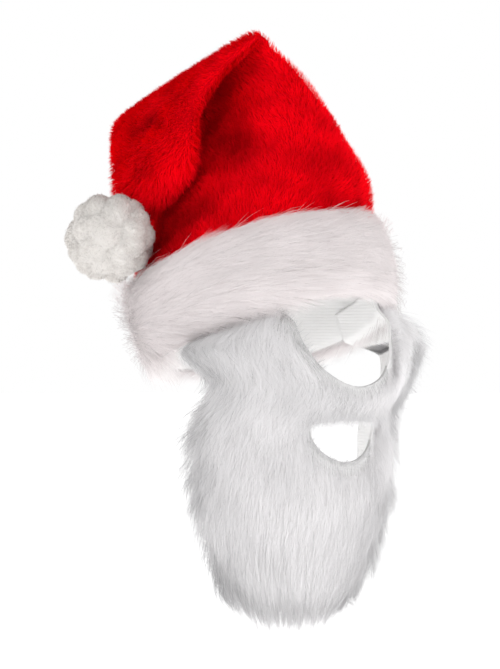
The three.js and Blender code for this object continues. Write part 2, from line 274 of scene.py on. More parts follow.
def beard_row(z):
    """Half width, front, middle and reach of the beard at a height."""
    place = np.interp(-z, -BEARD[:, 0], np.arange(len(BEARD))) / (len(BEARD) - 1)
    return np.moveaxis(between(BEARD, place), -1, 0)[1:]


def beard_reach(z):
    return beard_row(z)[3]


def beard_point(share, z, out):
    """A place on the beard: share from -1 at the right edge to 1 at the left, height and stand-off."""
    width, front, middle, reach = beard_row(z)
    angle = share * np.radians(reach)
    puff = CHEEK["puff"] * hump(z, CHEEK["z"], CHEEK["spread"])
    stand = out + puff * smooth(share, CHEEK["from"], CHEEK["to"])
    hung = np.stack([
        (width + stand) * np.sin(angle),
        middle - (middle - front + stand) * np.cos(angle),
        z,
    ], -1)
    inset = STRAP_GAP + CLOTH - out
    level = -(HEAD_HALF_LENGTH - inset) * np.cos(angle)
    height = (z + level * np.sin(HAT_LEAN)) / np.cos(HAT_LEAN)
    tucked = np.stack([
        (HEAD_HALF_WIDTH - inset) * np.sin(angle),
        level * np.cos(HAT_LEAN) + height * np.sin(HAT_LEAN),
        z,
    ], -1)
    mix = smooth(-height, STRAP_LEAVES, STRAP_HANGS)[..., None]
    return tucked * (1 - mix) + hung * mix


def brim_bottom(share):
    return HEAD_HALF_LENGTH * np.cos(share * np.radians(BEARD[0, 4])) * np.sin(HAT_LEAN)


def beard_bottom(share):
    return BEARD_CUT["middle"] + (BEARD_CUT["side"] - BEARD_CUT["middle"]) * share**4


def beard_height(share, step, above):
    """Height at a step from 0 to 1 down the beard, which starts above the brim's lower edge."""
    top = brim_bottom(share) + above
    return top + (beard_bottom(share) - top) * step


def eye_ring(at, margin=0.0):
    """1 on the outline of the eye opening with a margin round it, and less inside."""
    x, z = at[..., 0], at[..., 2]
    high = np.minimum(0, z - EYES["middle"]) / (EYES["drop"] + margin)
    return np.hypot((x - EYES["across"]) / (EYES["half_width"] + margin), high)


def mouth_ring(at, margin=0.0):
    """1 on the outline of the mouth opening with a margin round it, and less inside."""
    x, z = at[..., 0], at[..., 2]
    rise = np.where(z < MOUTH["middle"], MOUTH["drop"], MOUTH["rise"]) + margin
    return np.hypot(x / (MOUTH["half_width"] + margin), (z - MOUTH["middle"]) / rise)


def in_opening(at, margin=0.0):
    return (eye_ring(at, margin) < 1) | (mouth_ring(at, margin) < 1)


# Meshes

def add(name, data):
    """A new object in the scene."""
    made = bpy.data.objects.new(name, data)
    bpy.context.scene.collection.objects.link(made)
    return made


def add_piece(name, mesh):
    """A new piece of the dressed part."""
    piece = add(name, mesh)
    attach(piece, "root")
    return piece


def mesh_piece(name, points, faces, materials, material_of=None):
    """A piece from points in millimetres in the row frame."""
    mesh = bpy.data.meshes.new(name)
    mesh.from_pydata((np.asarray(points) * MM).tolist(), [], faces)
    for material in materials:
        mesh.materials.append(material)
    if material_of is not None:
        mesh.polygons.foreach_set("material_index", np.asarray(material_of, dtype=np.int32))
    mesh.polygons.foreach_set("use_smooth", np.ones(len(mesh.polygons), dtype=bool))
    mesh.update()
    return add_piece(name, mesh)


def grid_faces(rows, columns, wrap, start=0, flip=False):
    """Quads over a grid of points stored row by row."""
    faces = []
    for r in range(rows - 1):
        for c in range(columns if wrap else columns - 1):
            d = (c + 1) % columns
            quad = (r * columns + c, r * columns + d, (r + 1) * columns + d, (r + 1) * columns + c)
            quad = tuple(start + k for k in quad)
            faces.append(quad[::-1] if flip else quad)
    return faces


def spread_roots(points, count, thick):
    """Random rows and columns, as fractions, on a grid of points: spread by area and thickness of pile."""
    a, b = points[:-1, :-1], points[1:, :-1]
    c, d = points[1:, 1:], points[:-1, 1:]
    area = np.linalg.norm(np.cross(c - a, d - b), axis=-1) * thick((a + c) / 2)
    picked = rng.choice(area.size, count, p=(area / area.sum()).ravel())
    row, column = np.divmod(picked, area.shape[1])
    return row + rng.random(count), column + rng.random(count)


def at_grid(grid, row, column):
    """Values of a grid at rows and columns given as fractions."""
    i, j = row.astype(int), column.astype(int)
    fr, fc = (row - i)[:, None], (column - j)[:, None]
    near = grid[i, j] * (1 - fr) + grid[i + 1, j] * fr
    far = grid[i, j + 1] * (1 - fr) + grid[i + 1, j + 1] * fr
    return near * (1 - fc) + far * fc


def leads(points, count):
    """Some points, picked at random, lead the others: the number of each point's nearest lead."""
    picked = rng.choice(len(points), count, replace=False)
    tree = KDTree(count)
    for i, point in enumerate(points[picked]):
        tree.insert(point, i)
    tree.balance()
    return picked[[tree.find(point)[1] for point in points]]


# Strands are ribbons that narrow to a tip. Each has one column of its material's colour map.
TONES = 40
COLUMN_HALF = 0.35
MAP_MARGIN = 0.01
TAPER = 0.55
TAPER_POWER = 1.5
OUTWARD = 0.25


def arch(along):
    """A strand rises off the cloth and bends back a little at its tip."""
    return np.sin(along * 0.67 * np.pi)


def ribbon_loops(count, points):
    """Corners of all ribbons' faces, and where each face starts: quads, and a triangle at each tip."""
    corners, quads = 2 * points - 1, points - 2
    loops = [2 * j + k for j in range(quads) for k in (0, 1, 3, 2)]
    loops = np.array(loops + [corners - 3, corners - 2, corners - 1])
    starts = 4 * np.arange(quads + 1)
    ribbon = np.arange(count)[:, None]
    return (ribbon * corners + loops).ravel(), (ribbon * len(loops) + starts).ravel()


def ribbon_map(tone, along):
    """Places of all ribbons' corners on the colour map. A tone from 0 to 1 picks the column."""
    column = (np.clip(tone, 0, 0.999) * TONES).astype(int)
    side = np.append(np.tile([-COLUMN_HALF, COLUMN_HALF], len(along) - 1), 0)
    u = (column[:, None] + 0.5 + side) / TONES
    v = np.append(np.repeat(along[:-1], 2), 1) * (1 - 2 * MAP_MARGIN) + MAP_MARGIN
    return np.stack([u, np.broadcast_to(v, u.shape)], -1).reshape(-1, 2)


def ribbon_corners(left, right, middle):
    """Left and right values in turn along each ribbon, and the middle one at its tip."""
    edges = np.stack([left, right], 2)[:, :-1].reshape(len(left), -1, 3)
    return np.concatenate([edges, middle[:, -1:]], 1)


def strands(name, paths, facing, width, tone, material, slot, twist, rounded=0.25):
    """A piece of ribbons along paths (strand, point, axis), each turned at random by up to its twist."""
    count, points, _ = paths.shape
    along = np.linspace(0, 1, points)
    tangent = unit(np.gradient(paths, axis=1))
    facing = unit(facing)[:, None, :]
    side = unit(np.cross(tangent, facing))
    up = unit(np.cross(side, tangent))
    turn = rng.uniform(-twist, twist, count)[:, None, None]
    side, up = side * np.cos(turn) + up * np.sin(turn), up * np.cos(turn) - side * np.sin(turn)
    half = (width[:, None] * (1 - TAPER * along**TAPER_POWER) / 2)[..., None]
    corners = ribbon_corners(paths - side * half, paths + side * half, paths)
    plain = unit(facing * OUTWARD + up)
    normals = ribbon_corners(unit(plain - side * rounded), unit(plain + side * rounded), plain)
    loops, starts = ribbon_loops(count, points)

    mesh = bpy.data.meshes.new(name)
    mesh.vertices.add(corners.shape[0] * corners.shape[1])
    mesh.vertices.foreach_set("co", (corners * MM).astype(np.float32).ravel())
    mesh.loops.add(len(loops))
    mesh.loops.foreach_set("vertex_index", loops.astype(np.int32))
    mesh.polygons.add(len(starts))
    mesh.polygons.foreach_set("loop_start", starts.astype(np.int32))
    mesh.update(calc_edges=True)
    layer = mesh.uv_layers.new(name="OFBake")
    layer.data.foreach_set("uv", ribbon_map(tone, along)[loops].astype(np.float32).ravel())
    mesh.polygons.foreach_set("use_smooth", np.ones(len(starts), dtype=bool))
    mesh.materials.append(material)
    mesh.normals_split_custom_set_from_vertices(normals.reshape(-1, 3).tolist())
    return add_piece(name, mesh)


def strands_in_two(names, order, paths, facing, width, tone, *looks):
    """Two pieces of strands: the first and the second half of them in a given order."""
    half = len(order) // 2
    return [
        strands(name, paths[part], facing[part], width[part], tone[part], *looks)
        for name, part in zip(names, (order[:half], order[half:]))
    ]


# Materials

def new_material(name, roughness, specular=0.15):
    material = bpy.data.materials.new(name)
    material.use_nodes = True
    nodes, links = material.node_tree.nodes, material.node_tree.links
    shader = nodes["Principled BSDF"]
    shader.inputs["Roughness"].default_value = roughness
    shader.inputs["Specular IOR Level"].default_value = specular
    return material, nodes, links, shader


def node(nodes, kind, inputs=(), **settings):
    """A new node with its settings, and then values for its inputs."""
    made = nodes.new(kind)
    for key, value in settings.items():
        setattr(made, key, value)
    for key, value in dict(inputs).items():
        made.inputs[key].default_value = value
    return made


def colour_mix(nodes, first, second):
    return node(nodes, "ShaderNodeMix", {"A": (*first, 1), "B": (*second, 1)}, data_type="RGBA")


def strand_material(name, root, tip, dark, light, through, **looks):
    """Colour from root to tip, scaled by the strand's tone from dark to light. Some light goes through."""
    material, nodes, links, shader = new_material(name, **looks)
    place = node(nodes, "ShaderNodeUVMap", uv_map="OFBake")
    split = node(nodes, "ShaderNodeSeparateXYZ")
    colour = colour_mix(nodes, root, tip)
    tone = colour_mix(nodes, dark, light)
    both = node(nodes, "ShaderNodeMix", {"Factor": 1}, data_type="RGBA", blend_type="MULTIPLY")
    glow = node(nodes, "ShaderNodeBsdfTranslucent")
    share = node(nodes, "ShaderNodeMixShader", {0: through})
    links.new(place.outputs["UV"], split.inputs[0])
    links.new(split.outputs["Y"], colour.inputs["Factor"])
    links.new(split.outputs["X"], tone.inputs["Factor"])
    links.new(colour.outputs["Result"], both.inputs["A"])
    links.new(tone.outputs["Result"], both.inputs["B"])
    links.new(both.outputs["Result"], shader.inputs["Base Color"])
    links.new(both.outputs["Result"], glow.inputs["Color"])
    links.new(shader.outputs[0], share.inputs[1])
    links.new(glow.outputs[0], share.inputs[2])
    links.new(share.outputs[0], nodes["Material Output"].inputs["Surface"])
    return material


def cloth_material(name, dark, light, knit, **looks):
    """Backing cloth: mottled colour and fine knitted ribs, knit millimetres apart."""
    wave_period = 2 * np.pi / 20
    material, nodes, links, shader = new_material(name, **looks)
    place = node(nodes, "ShaderNodeTexCoord")
    blotch = node(nodes, "ShaderNodeTexNoise", {"Scale": 60, "Detail": 4})
    colour = colour_mix(nodes, dark, light)
    rib_look = {"Scale": wave_period / (knit * MM), "Distortion": 1.5, "Detail Scale": 3}
    ribs = node(nodes, "ShaderNodeTexWave", rib_look, bands_direction="Z", wave_profile="SIN")
    bump = node(nodes, "ShaderNodeBump", {"Strength": 0.25, "Distance": 0.0006})
    links.new(place.outputs["Object"], blotch.inputs["Vector"])
    links.new(blotch.outputs["Fac"], colour.inputs["Factor"])
    links.new(colour.outputs["Result"], shader.inputs["Base Color"])
    links.new(place.outputs["Object"], ribs.inputs["Vector"])
    links.new(ribs.outputs["Fac"], bump.inputs["Height"])
    links.new(bump.outputs["Normal"], shader.inputs["Normal"])
    return material


FINE_KNIT, WOOL_KNIT, COARSE_KNIT = 1.2, 2, 2.4
NO_TINT = (1, 1, 1)

red_ground = cloth_material(
    "red_ground", (0.5, 0.0, 0.004), (0.62, 0.0, 0.006), FINE_KNIT, roughness=0.95, specular=0.02,
)
lining = cloth_material(
    "lining", (0.93, 0.925, 0.92), (0.97, 0.965, 0.96), COARSE_KNIT, roughness=0.9,
)
white_ground = cloth_material(
    "white_ground", (0.76, 0.75, 0.75), (0.8, 0.79, 0.79), FINE_KNIT, roughness=0.95,
)
# Painted shade: a darker ground round the beard's openings.
shaded_rim_ground = cloth_material(
    "shaded_rim_ground", (0.5, 0.495, 0.495), (0.56, 0.555, 0.555), FINE_KNIT, roughness=0.95,
)
white_backing = cloth_material(
    "white_backing", (0.93, 0.925, 0.92), (0.97, 0.965, 0.96), COARSE_KNIT, roughness=0.9,
)
wool_ground = cloth_material(
    "wool_ground", (0.88, 0.865, 0.845), (0.92, 0.905, 0.885), WOOL_KNIT, roughness=0.95,
)
red_pile = strand_material(
    "red_pile", (0.95, 0.0, 0.002), (1.0, 0.0008, 0.01), (0.3, 0.2, 0.2), (1, 1, 1.4),
    through=0.25, roughness=0.9, specular=0.03,
)
brim_white = strand_material(
    "brim_white", (0.955, 0.93, 0.93), (0.975, 0.95, 0.95), (0.6, 0.59, 0.59), NO_TINT,
    through=0.62, roughness=0.8, specular=0.03,
)
beard_white = strand_material(
    "beard_white", (0.955, 0.948, 0.951), (0.978, 0.971, 0.974), (0.48, 0.48, 0.485), NO_TINT,
    through=0.62, roughness=0.8, specular=0.03,
)
white_wool = strand_material(
    "white_wool", (0.94, 0.92, 0.9), (0.965, 0.945, 0.925), (0.6, 0.59, 0.58), NO_TINT,
    through=0.45, roughness=0.9, specular=0.03,
)


# Crown

def crown_grid(stations, sides, inset=0, closed=False):
    share = np.linspace(0, 1, stations)[:, None] + np.zeros(sides)
    turn = np.linspace(0, 1, sides, endpoint=closed) + np.zeros((stations, 1))
    return crown_point(share, turn, inset)


def make_crown():
    """The crown's hollow cloth: outer and inner skin, joined at the hem and each closed at the tip."""
    stations, sides = 86, 96
    outer = crown_grid(stations, sides)
    inner = crown_grid(stations, sides, CLOTH)
    *tip, _, _, lean, _ = CROWN[-1]
    onward = np.array([-np.sin(np.radians(lean)), 0, np.cos(np.radians(lean))])
    tips = np.array(tip) + np.array([[CLOTH], [-CLOTH]]) * onward
    points = np.concatenate([outer.reshape(-1, 3), inner.reshape(-1, 3), tips])
    size = stations * sides
    faces = grid_faces(stations, sides, True)
    faces += grid_faces(stations, sides, True, size, True)
    outside = len(faces) // 2
    kinds = [0] * outside + [1] * outside
    last = size - sides
    for c in range(sides):
        d = (c + 1) % sides
        faces.append((c, size + c, size + d, d))
        faces.append((last + c, last + d, 2 * size))
        faces.append((size + last + d, size + last + c, 2 * size + 1))
        kinds += [0, 0, 1]
    cloth = mesh_piece("crown_cloth", worn(points), faces, [red_ground, lining], kinds)
    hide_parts("crown")
    return cloth


def above_brim(at):
    """The pile starts a little below the brim's top edge."""
    tuck = 8
    return at[..., 2] > BRIM_HEIGHT - tuck


def headroom(grid, root, out):
    """How far each root can see along its normal before it meets the crown again, up to a limit."""
    limit, clear = 40.0, 1.5
    rows, columns, _ = grid.shape
    tree = BVHTree.FromPolygons(grid.reshape(-1, 3).tolist(), grid_faces(rows, columns, False))
    hits = [tree.ray_cast(Vector(p + n * clear), Vector(n), limit)[3] for p, n in zip(root, out)]
    return np.array([limit if hit is None else hit for hit in hits])


def make_pile():
    """Short plush on the crown, its nap laid towards the tip, shorter in the fold and longer on the flap."""
    count, clumps = 96000, 14000
    usual_length, usual_lean, usual_tone = 6.4, 50, 0.92
    sunk, bow = 0.3, 0.5
    rows, columns, coarse = 260, 320, 4
    grid = crown_grid(rows, columns, closed=True)
    uphill = np.gradient(grid, axis=0)
    normal = unit(np.cross(np.gradient(grid, axis=1), uphill))
    row, column = spread_roots(grid, count, above_brim)
    root = at_grid(grid, row, column)
    out = unit(at_grid(normal, row, column))
    flow = unit(at_grid(unit(uphill), row, column))
    share = row / (rows - 1)

    swirl = mottle(root, PILE_SWIRL) + rng.normal(0, 0.45, count)
    lean = np.radians(usual_lean + 9 * waves(root, 45, 5) + rng.normal(0, 11, count))
    way = flow * np.cos(swirl)[:, None] + np.cross(out, flow) * np.sin(swirl)[:, None]
    lead = leads(root, clumps)
    in_fold = 0.35 + 0.65 * smooth(headroom(grid[::coarse, ::coarse], root, out), 4, 24)
    on_ridge = 1 - 0.3 * hump(share, 0.46, 0.09)
    on_flap = 1 + 0.75 * smooth(share, 0.78, 0.9)
    length = usual_length * rng.uniform(0.8, 1.12, count) * in_fold * on_ridge * on_flap

    direction = unit(out * np.cos(lean)[:, None] + way * np.sin(lean)[:, None])
    direction = unit(0.7 * direction + 0.3 * direction[lead])
    pull = (root[lead] - root) * rng.uniform(0.0, 0.2, count)[:, None]
    middle = root + direction * (0.5 * length)[:, None] + out * bow + pull * 0.35
    tip = root + direction * length[:, None] + pull
    paths = worn(np.stack([root - out * sunk, middle, tip], 1))
    tone = usual_tone + mottle(root, PILE_TONE) + rng.normal(0, 0.03, count)
    # Painted shade and light on the pile, patch by patch from the table.
    for *place, spread, change in PILE_PAINTED_SHADE_AND_LIGHT:
        tone = tone + change * patch(root, place, spread)
    width = rng.uniform(0.38, 0.58, count)
    names, twist = ("crown_pile_a", "crown_pile_b"), 0.4
    order = np.arange(count)
    return strands_in_two(names, order, paths, worn(out), width, tone, red_pile, "red_plush", twist)


# Brim

# Its section round the cloth: distance out from the head, and height. The first two stretches are the lining.
BRIM_SECTION = np.array([
    (0, FACING_HEIGHT),
    (0, 4),
    (1.6, -0.6),
    (brim_out(0, -3), -3),
    (brim_out(0.6, -1), -1),
    (brim_out(0.9, 9), 9),
    (brim_out(1, 27), 27),
    (brim_out(0.95, 43), 43),
    (brim_out(0.7, 55), 55),
    (brim_out(0.25, BRIM_HEIGHT), BRIM_HEIGHT),
    (brim_out(0, 60), 60),
    (brim_out(0, 0.8), 0.8),
    (FACING, 0.8),
    (FACING, FACING_HEIGHT),
])
LINED_STRETCHES = 2
FURRED_CORNERS = slice(2, 10)


def make_brim():
    sides, steps = 128, 4
    part = np.arange(steps)[:, None]
    ends = np.roll(BRIM_SECTION, -1, axis=0)
    section = np.concatenate([a + (b - a) * part / steps for a, b in zip(BRIM_SECTION, ends)])
    turn = np.arange(sides)[:, None] / sides + np.zeros(len(section))
    points = brim_point(turn, section[:, 0], section[:, 1]).transpose(1, 0, 2)
    faces = grid_faces(len(section), sides, True)
    last = (len(section) - 1) * sides
    for c in range(sides):
        d = (c + 1) % sides
        faces.append((last + c, last + d, d, c))
    inside = LINED_STRETCHES * steps * sides
    kinds = [1] * inside + [0] * (len(faces) - inside)
    looks = [white_ground, lining]
    band = mesh_piece("brim_band", worn(points.reshape(-1, 3)), faces, looks, kinds)
    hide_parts("brim")
    return band


def brim_fall(turn, z, home):
    """How far the fur's tips fall, apart from chance: most along the lower edge."""
    shorter, raised, fringe = 0.8, 9, 11
    fall = np.interp(z, *BRIM_FALL.T) + 2 * waves(home, 34, 12)
    fall = fall * (1 - shorter * stretch(turn, *BRIM_SHORT) * (1 - smooth(z, 8, 24)))
    fall = fall - raised * stretch(turn, *BRIM_RISES) * smooth(z, 38, 56)
    return fall + fringe * hump(turn, *BRIM_FRINGE) * (1 - smooth(z, 4, 30))


def make_brim_fur():
    """Long fur combed round the hat, from the back along its right side to the front."""
    count, clumps, points = 38000, 2600, 4
    usual_length, usual_tone = 34, 0.94
    upper_edge, sunk, outward = 48, 0.6, 10
    girth = np.pi * (HEAD_HALF_WIDTH + HEAD_HALF_LENGTH + 2 * BRIM_BULGE)
    skin = BRIM_SECTION[FURRED_CORNERS]
    run = np.concatenate([[0], np.cumsum(np.linalg.norm(np.diff(skin, axis=0), axis=1))])
    way = unit(np.gradient(skin, run, axis=0))
    turn = rng.random(count)
    place = rng.uniform(0, run[-1], count)
    out, z, way_out, way_z = (np.interp(place, run, column) for column in (*skin.T, *way.T))
    home = brim_point(turn, out, z)
    narrow = 1.6
    lead = leads(np.stack([turn * girth, place * narrow, 0 * z], -1), clumps)

    length = usual_length * rng.uniform(0.65, 1.15, count) * (1 - 0.15 * np.abs(waves(home, 40, 11)))
    fall = brim_fall(turn, z, home) + rng.normal(0, 1.2, count)[lead] + rng.normal(0, 1.6, count)
    lift = (3 + 3 * rng.random(count)) * (1 + 0.2 * waves(home, 30, 13)) * (0.4 + 0.6 * smooth(z, -2, 16))
    loose = sum(hump(turn, *side) for side in BRIM_LOOSE)
    wisp = rng.random(count) < 0.015 + 0.16 * loose + 0.02 * (z > upper_edge)
    lift = np.where(wisp, lift + rng.uniform(2, 6, count) + rng.uniform(0, 7, count) * loose, lift)
    fall = np.where(wisp, fall - rng.uniform(-3, 9, count) * smooth(z, 0, 30), fall)

    a = np.linspace(0, 1, points)
    rise = lift[:, None] * arch(a) - sunk
    out_path = out[:, None] + way_z[:, None] * rise
    z_path = z[:, None] - way_out[:, None] * rise - fall[:, None] * a**2
    z_path = z_path + (z[lead] - z)[:, None] * 0.12 * a**1.3
    turn_path = turn[:, None] + a * (length / girth)[:, None]
    paths = worn(brim_point(turn_path, out_path, z_path))
    facing = worn(brim_point(turn, out + outward * way_z, z - outward * way_out)) - worn(home)
    tone = usual_tone + 0.04 * waves(home, 30, 14) + rng.normal(0, 0.025, count)
    # Painted shade: loose wisps over the white fur are darker.
    tone = tone - 0.5 * (wisp & (z < upper_edge))
    width = rng.uniform(0.2, 0.34, count)
    twist, rounded = 0.15 + 0.8 * np.minimum(loose, 1), 0.1
    return strands("brim_fur", paths, facing, width, tone, brim_white, "white_fur", twist, rounded)


# Beard

def make_beard():
    """The beard's backing, cut open at the eyes and the mouth. Round these its ground is darker: painted
    shade.
    """
    rows, columns = 96, 89
    rim_width, rim_end = 13, 30
    outside, inside, painted_shade_by_opening = range(3)
    share = np.linspace(-1, 1, columns) + np.zeros((rows, 1))
    z = beard_height(share, np.linspace(0, 1, rows)[:, None], STRAP_TUCK)
    front = beard_point(share, z, CLOTH)
    back = beard_point(share, z, 0)
    size = rows * columns
    points = np.concatenate([front.reshape(-1, 3), back.reshape(-1, 3)])
    faces = grid_faces(rows, columns, False, flip=True)
    faces += grid_faces(rows, columns, False, size)
    kinds = [outside] * (len(faces) // 2) + [inside] * (len(faces) // 2)
    rim = [(0, c) for c in range(columns)]
    rim += [(r, columns - 1) for r in range(1, rows)]
    rim += [(rows - 1, c) for c in range(columns - 2, -1, -1)]
    rim += [(r, 0) for r in range(rows - 2, 0, -1)]
    ring = [r * columns + c for r, c in rim]
    for a, b in zip(ring, ring[1:] + ring[:1]):
        faces.append((a, b, size + b, size + a))
        kinds.append(outside)
    looks = [white_ground, white_backing, shaded_rim_ground]
    backing = mesh_piece("beard_backing", points, faces, looks, kinds)
    for outline in (eye_outline(), mouth_outline()):
        cut_through(backing, outline)
    for face in backing.data.polygons:
        middle = np.array(face.center) / MM
        if face.material_index == outside and middle[0] < rim_end and in_opening(middle, rim_width):
            face.material_index = painted_shade_by_opening
    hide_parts("beard")
    return backing


def eye_outline():
    """Half an oval, open at the top, so it runs on up past the beard's upper edge."""
    corners, past_top = 49, 100
    angle = np.linspace(np.pi, 2 * np.pi, corners)
    x = EYES["across"] + EYES["half_width"] * np.cos(angle)
    z = EYES["middle"] + EYES["drop"] * np.sin(angle)
    top = EYES["middle"] + past_top
    return [(x[-1], top), (x[0], top), *zip(x, z)]


def mouth_outline():
    corners = 72
    angle = np.linspace(0, 2 * np.pi, corners, endpoint=False)
    high = np.where(np.sin(angle) > 0, MOUTH["rise"], MOUTH["drop"])
    return list(zip(MOUTH["half_width"] * np.cos(angle), MOUTH["middle"] + high * np.sin(angle)))


def cut_through(piece, outline):
    """Takes an outline, seen from the front, out of a piece."""
    before, behind = -150, -30
    count = len(outline)
    points = [(x, y, z) for y in (before, behind) for x, z in outline]
    faces = [tuple(range(count)), tuple(range(2 * count - 1, count - 1, -1))]
    faces += [(k, count + k, count + (k + 1) % count, (k + 1) % count) for k in range(count)]
    mesh = bpy.data.meshes.new("cutter")
    mesh.from_pydata((np.array(points) * MM).tolist(), [], faces)
    cutter = add("cutter", mesh)
    cut = piece.modifiers.new("cut", "BOOLEAN")
    cut.object = cutter
    cut.operation = "DIFFERENCE"
    cut.solver = "EXACT"
    bpy.context.view_layer.update()
    done = bpy.data.meshes.new_from_object(piece.evaluated_get(bpy.context.evaluated_depsgraph_get()))
    piece.modifiers.clear()
    piece.data = done
    bpy.data.objects.remove(cutter)


def on_cheek(at):
    """The left cheek, beside the eye opening."""
    return (at[..., 0] > 40) & (at[..., 2] > BY_EYES)


def fur_thickness(at):
    """How close the beard's fur stands: closer at the tip and on the left cheek, and none in the openings."""
    margin, tip, at_tip, at_cheek = 1.0, -150, 1.5, 2.2
    thick = np.where(at[..., 2] < tip, at_tip, 1.0) * np.where(on_cheek(at), at_cheek, 1.0)
    return ~in_opening(at, margin) * thick


class BeardFur:
    """Long fur that hangs down the beard in locks. The order of its steps is the order of random draws."""

    count, clumps, locks, points = 64000, 5000, 1100, 4

    def __init__(self):
        self.plant()
        self.measure()
        self.trim()
        self.loosen()

    def plant(self):
        """Roots, and for each one the neighbour that leads it and the one that leads its lock."""
        rows, columns, above = 160, 180, 4
        share = np.linspace(-1, 1, columns) + np.zeros((rows, 1))
        z = beard_height(share, np.linspace(0, 1, rows)[:, None], above)
        row, column = spread_roots(beard_point(share, z, CLOTH), self.count, fur_thickness)
        self.share = column / (columns - 1) * 2 - 1
        self.z = beard_height(self.share, row / (rows - 1), above)
        self.root = beard_point(self.share, self.z, CLOTH)
        squat = self.root * np.array([1, 1, 0.5])
        self.lead = leads(squat, self.clumps)
        self.lock = leads(squat, self.locks)

    def measure(self):
        """Where each root is: its angle from the front, and how it lies to the edges and the openings."""
        x, z, half = self.root[:, 0], self.z, MOUTH["half_width"]
        self.angle = self.share * beard_reach(z)
        self.edge = np.abs(self.share) ** 6
        self.outer_cheek = (x > 45) & (z > -50)
        self.lip = MOUTH["middle"] + MOUTH["rise"] * np.sqrt(np.clip(1 - (x / half) ** 2, 0, 1))
        self.over_mouth = (np.abs(x) < half + 2) & (z > MOUTH["middle"])
        self.from_mouth = np.hypot(x / half, (z - MOUTH["middle"]) / MOUTH["drop"]) - 1
        self.from_eyes = eye_ring(self.root) - 1

    def by_eyes(self, margin):
        return in_opening(self.root, margin) & (self.z > BY_EYES) & ~self.over_mouth

    def trim(self):
        """Lengths: shorter away from the leads, by the eyes, over the lip and at the curve of the end."""
        shortest, shortest_at_end, past_lip = 4, 8, 9
        length = np.interp(self.z, BEARD_FUR[:, 0], BEARD_FUR[:, 1]) * rng.uniform(0.75, 1.1, self.count)
        from_lead = np.linalg.norm(self.root[self.lead] - self.root, axis=-1)
        length = length * (1 - 0.25 * np.clip(from_lead / 7, 0, 1))
        end = FUR_END["z"] + FUR_END["rise"] * ((self.share - FUR_END["share"]) / FUR_END["rise_share"]) ** 2
        end = end + rng.normal(0, 3, self.count)[self.lock] + rng.uniform(-2, 7, self.count)
        length = np.minimum(length, np.maximum(self.z - end, shortest_at_end))
        to_lip = self.z - self.lip + past_lip * rng.random(self.count) ** 1.5
        length = np.where(self.over_mouth, np.minimum(length, to_lip), length)
        length = np.maximum(length, shortest)
        self.length = np.where(self.by_eyes(5), 0.5 * length, length)

    def loosen(self):
        """How far strands stand off: wisps, flying ones on the cheek, pointed locks and short rims."""
        count, z = self.count, self.z
        lift = np.interp(z, BEARD_FUR[:, 0], BEARD_FUR[:, 2]) * rng.uniform(0.6, 1.0, count)
        lift = lift * np.where(z < MOUTH["middle"] + 6, 0.4 + 0.6 * smooth(self.from_mouth, 0, 0.6), 1)
        lift = lift * np.where(on_cheek(self.root), 0.75, 1)
        self.wisp = rng.random(count) < 0.02 + 0.1 * self.edge + 0.02 * self.outer_cheek
        self.lift = np.where(self.wisp, lift + rng.uniform(1, 5, count), lift)
        self.flying = np.where(self.wisp & self.outer_cheek, rng.uniform(2, 9, count), 0)
        pointed = hump(self.angle, *FUR_SPIKES) * np.where(z > -40, 0.7, 1)
        self.spike = pointed * (rng.random(count) < 0.45)[self.lock]
        self.stand = self.spike * rng.uniform(4, 15, count)[self.lock]
        self.rim = in_opening(self.root, 4.5) & ~self.over_mouth & (rng.random(count) < 0.7)
        self.length = np.where(self.rim, rng.uniform(3, 6.5, count), self.length)

    def fan(self):
        """Degrees that the tips spread sideways, most along the edges."""
        stray = rng.random(self.count) < 0.3
        self.stray = np.where(stray[self.lock], rng.uniform(3, 13, self.count)[self.lock], 0)
        loose = np.where(self.wisp, rng.uniform(0, 7, self.count), 0)
        fan = 2 * self.share + np.sign(self.share) * self.edge * (2 + self.stray + loose)
        return fan * smooth(-self.z, 20, 70)

    def sway(self):
        """Degrees that the tips sway at random. By the eyes they lie towards the opening."""
        count = self.count
        sway = rng.normal(0, 0.6, count)[self.lead]
        sway = sway + np.interp(self.z, *FUR_SWAY.T) * rng.normal(0, 1, count)
        sway = sway + 0.8 * waves(self.root, 60, 21)
        by_eyes = self.by_eyes(7)
        towards_eyes = np.sign(EYES["across"] - self.root[:, 0])
        sway = np.where(by_eyes, towards_eyes * rng.uniform(-1, 4, count), sway)
        left_corner = by_eyes & (self.share > 0) & (self.z > -28)
        return np.where(left_corner, rng.uniform(-3, 1, count), sway)

    def hang(self):
        """Paths down the cloth, drawn to each strand's lead and, in pointed locks, to the lock's lead."""
        a = np.linspace(0, 1, self.points)
        drop = np.where(self.flying > 0, 0.6 * self.length, self.length)
        drop = np.where(self.rim, -self.length, drop)
        z = self.z[:, None] - drop[:, None] * a
        reach = beard_reach(z)
        pointed = 0.8 * np.maximum(smooth(-self.z, 150, 200), self.spike)
        draw = (self.angle[self.lead] - self.angle) * 0.12 + (self.angle[self.lock] - self.angle) * pointed
        # In the middle the fur hangs straight down, and towards the edges it follows their outline.
        follow = np.abs(self.share[:, None]) ** 3 * (self.share[:, None] * reach - self.angle[:, None])
        angle = self.angle[:, None] + draw[:, None] * a**1.4 + follow
        angle = angle + (self.fan() + self.sway())[:, None] * a**1.5
        off = self.lift[:, None] * arch(a) + (self.stand + self.flying)[:, None] * a**1.5
        return beard_point(angle / reach, z, 0.9 * CLOTH + off)

    def facing(self):
        """Out from the cloth, but more to the front at the sides, and inwards beside the left eye."""
        outward, frontward, inward = 10, np.array([0, -1, 0]), np.array([-1, -0.3, 0])
        out = unit(beard_point(self.share, self.z, outward) - beard_point(self.share, self.z, 0))
        at_side = 0.9 * smooth(np.abs(self.angle), 20, 50)
        out = unit(out + at_side[:, None] * frontward)
        by_left_eye = 2.5 * self.outer_cheek * (1 - smooth(self.from_eyes, 0.1, 0.5))
        return unit(out + by_left_eye[:, None] * inward)

